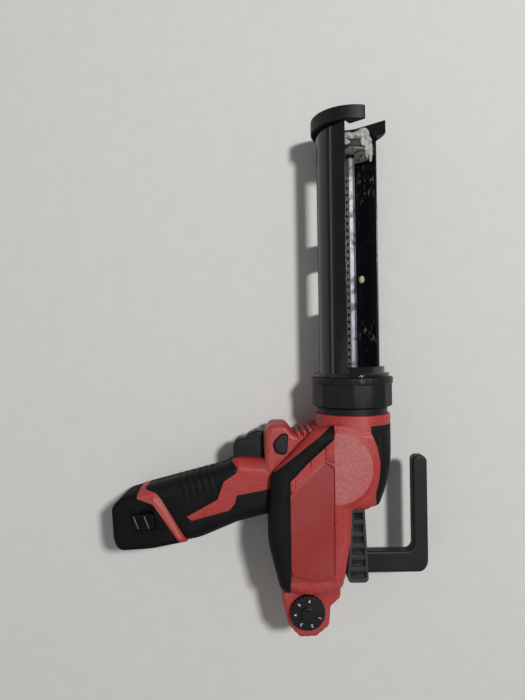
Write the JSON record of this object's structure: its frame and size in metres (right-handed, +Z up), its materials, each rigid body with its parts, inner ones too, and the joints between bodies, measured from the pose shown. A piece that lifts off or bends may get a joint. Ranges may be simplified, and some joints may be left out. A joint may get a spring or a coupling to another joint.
{
  "type": "cordless caulking tool",
  "caption": "Pistol-grip cordless caulking tool: gear-driven toothed rod in an open turning cartridge carriage, with pull hook, speed dial and slide-in battery.",
  "frame": {"origin": "on the surface that the tool lies on, under the middle of its box", "axes": "+Z up from the right side that it lies on to its left side, +Y forward along the barrel, +X towards the top of the tool"},
  "size_m": [0.2776, 0.4532, 0.072],
  "materials": {
    "red_shell": "fine moulded texture, lightly scuffed",
    "black_rubber": "matt over-mould",
    "black_plastic": "satin",
    "carriage_black": "glossy, smeared with old sealant",
    "steel": "ground",
    "dark_steel": "oiled",
    "bearing_bronze": "turned",
    "motor_zinc": "plated",
    "grey_plastic": "plain",
    "board_green": "coated",
    "contact_brass": "plated"
  },
  "bodies": {
    "housing": {"left_housing": "red_shell", "right_housing": "red_shell", "left_bumper": "black_rubber", "right_bumper": "black_rubber", "left_top_cover": "black_rubber", "right_top_cover": "black_rubber", "left_grip": "black_rubber", "right_grip": "black_rubber", "housing_screws": "dark_steel", "threaded_spigot": "black_plastic", "shaft_bearings": "bearing_bronze", "output_bearing": "bearing_bronze", "gearbox_case": "motor_zinc", "motor_can": "motor_zinc", "motor_end_cap": "grey_plastic", "rod_shoe": "grey_plastic", "rear_rod_guide": "black_plastic", "trigger_switch": "grey_plastic", "dial_sensor": "grey_plastic", "control_board": "board_green", "terminal_block": "grey_plastic", "contact_blades": "contact_brass"},
    "rod": {"rack_rod": "steel", "piston_disc": "grey_plastic", "piston_screw": "steel", "rod_end_grip": "black_plastic", "pull_hook": "black_plastic", "hook_screw": "dark_steel"},
    "cross_shaft": {"rack_pinion": "dark_steel", "bevel_gear": "dark_steel", "pinion_shaft": "steel"},
    "drive_pinion": {"bevel_pinion": "dark_steel"},
    "collar": {"retaining_collar": "black_plastic"},
    "carriage": {"carriage_ring": "carriage_black", "carriage_trough": "carriage_black", "front_cap": "carriage_black"},
    "trigger": {"trigger": "black_plastic"},
    "lock_button": {"lock_button": "black_plastic"},
    "speed_dial": {"speed_dial": "black_plastic"},
    "battery": {"battery_pack": "black_plastic"},
    "latch_left": {"battery_latch_left": "black_plastic"},
    "latch_right": {"battery_latch_right": "black_plastic"}
  },
  "joints": [
    {"name": "rod_slide", "type": "slide", "parent": "housing", "child": "rod", "axis": [0, -1, 0], "range_m": [0, 0.205]},
    {"name": "shaft_spin", "type": "hinge", "parent": "housing", "child": "cross_shaft", "pos_m": [0.0528, -0.07723, 0.036], "axis": [0, 0, 1], "range_deg": [-691.92, 1]},
    {"name": "pinion_spin", "type": "hinge", "parent": "housing", "child": "drive_pinion", "pos_m": [0.0528, -0.07723, 0.036], "axis": [-0.2079, -0.9781, 0], "range_deg": [-1, 2073.76]},
    {"name": "collar_turn", "type": "hinge", "parent": "housing", "child": "collar", "pos_m": [0.0738, -0.01542, 0.036], "axis": [0, 1, 0], "range_deg": [0, 180]},
    {"name": "carriage_turn", "type": "hinge", "parent": "housing", "child": "carriage", "pos_m": [0.0738, -0.00543, 0.036], "axis": [0, 1, 0], "continuous": true},
    {"name": "trigger_pull", "type": "slide", "parent": "housing", "child": "trigger", "axis": [0, -1, 0], "range_m": [0, 0.007], "stiffness_N_per_m": 600, "springref_m": -0.004},
    {"name": "lock_push", "type": "slide", "parent": "housing", "child": "lock_button", "axis": [0, 0, 1], "range_m": [-0.003, 0.003]},
    {"name": "dial_turn", "type": "hinge", "parent": "housing", "child": "speed_dial", "pos_m": [0.029, -0.2034, 0.0584], "axis": [0, 0, 1], "range_deg": [-150, 150]},
    {"name": "battery_slide", "type": "slide", "parent": "housing", "child": "battery", "axis": [-0.9724, -0.2334, 0], "range_m": [0, 0.08]},
    {"name": "latch_left_press", "type": "slide", "parent": "battery", "child": "latch_left", "axis": [0, 0, -1], "range_m": [0, 0.0025], "stiffness_N_per_m": 900, "springref_m": -0.002},
    {"name": "latch_right_press", "type": "slide", "parent": "battery", "child": "latch_right", "axis": [0, 0, 1], "range_m": [0, 0.0025], "stiffness_N_per_m": 900, "springref_m": -0.002}
  ],
  "couplings": [
    {"joint": "shaft_spin", "follows": "rod_slide", "rad_per_m": -58.824},
    {"joint": "pinion_spin", "follows": "rod_slide", "rad_per_m": 176.47}
  ]
}
